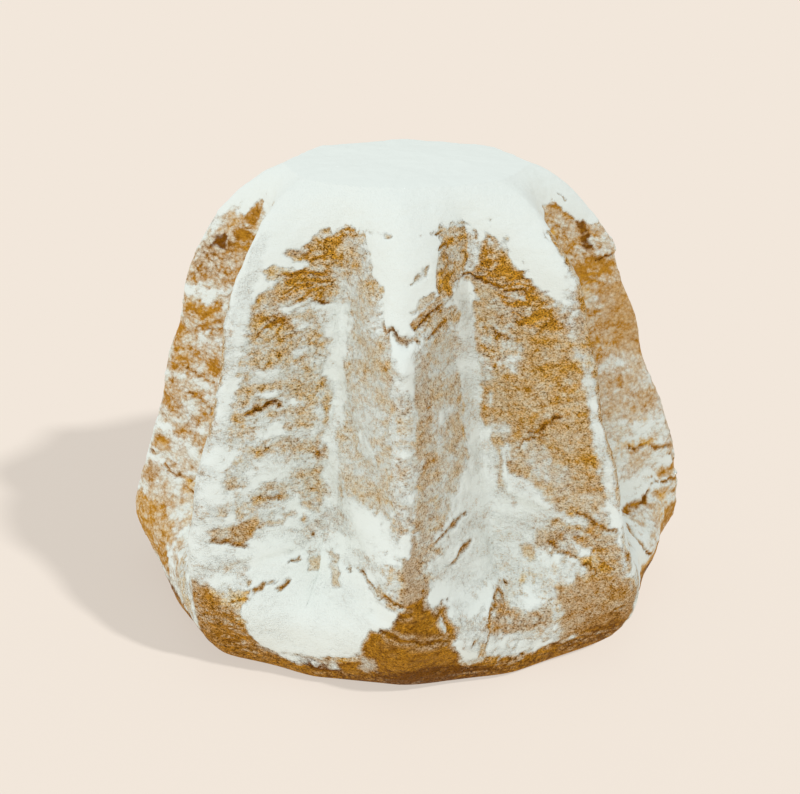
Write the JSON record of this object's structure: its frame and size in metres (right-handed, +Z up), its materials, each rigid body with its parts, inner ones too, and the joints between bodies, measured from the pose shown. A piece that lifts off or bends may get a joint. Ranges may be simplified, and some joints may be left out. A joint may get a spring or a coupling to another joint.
{
  "type": "pandoro",
  "caption": "Tall star-shaped sweet loaf with eight ridges, standing on its wide end, dusted with sugar.",
  "frame": {"origin": "middle of the flat base that the loaf stands on", "axes": "+Z up from the base to the narrow top, -Y through the middle of the front ridge, +X to the right seen from the front"},
  "size_m": [0.2182, 0.2158, 0.1666],
  "materials": {
    "sugared_crust": "matte baked crust under a patchy dusting of icing sugar"
  },
  "bodies": {
    "root": {"pandoro": "sugared_crust"}
  },
  "joints": []
}
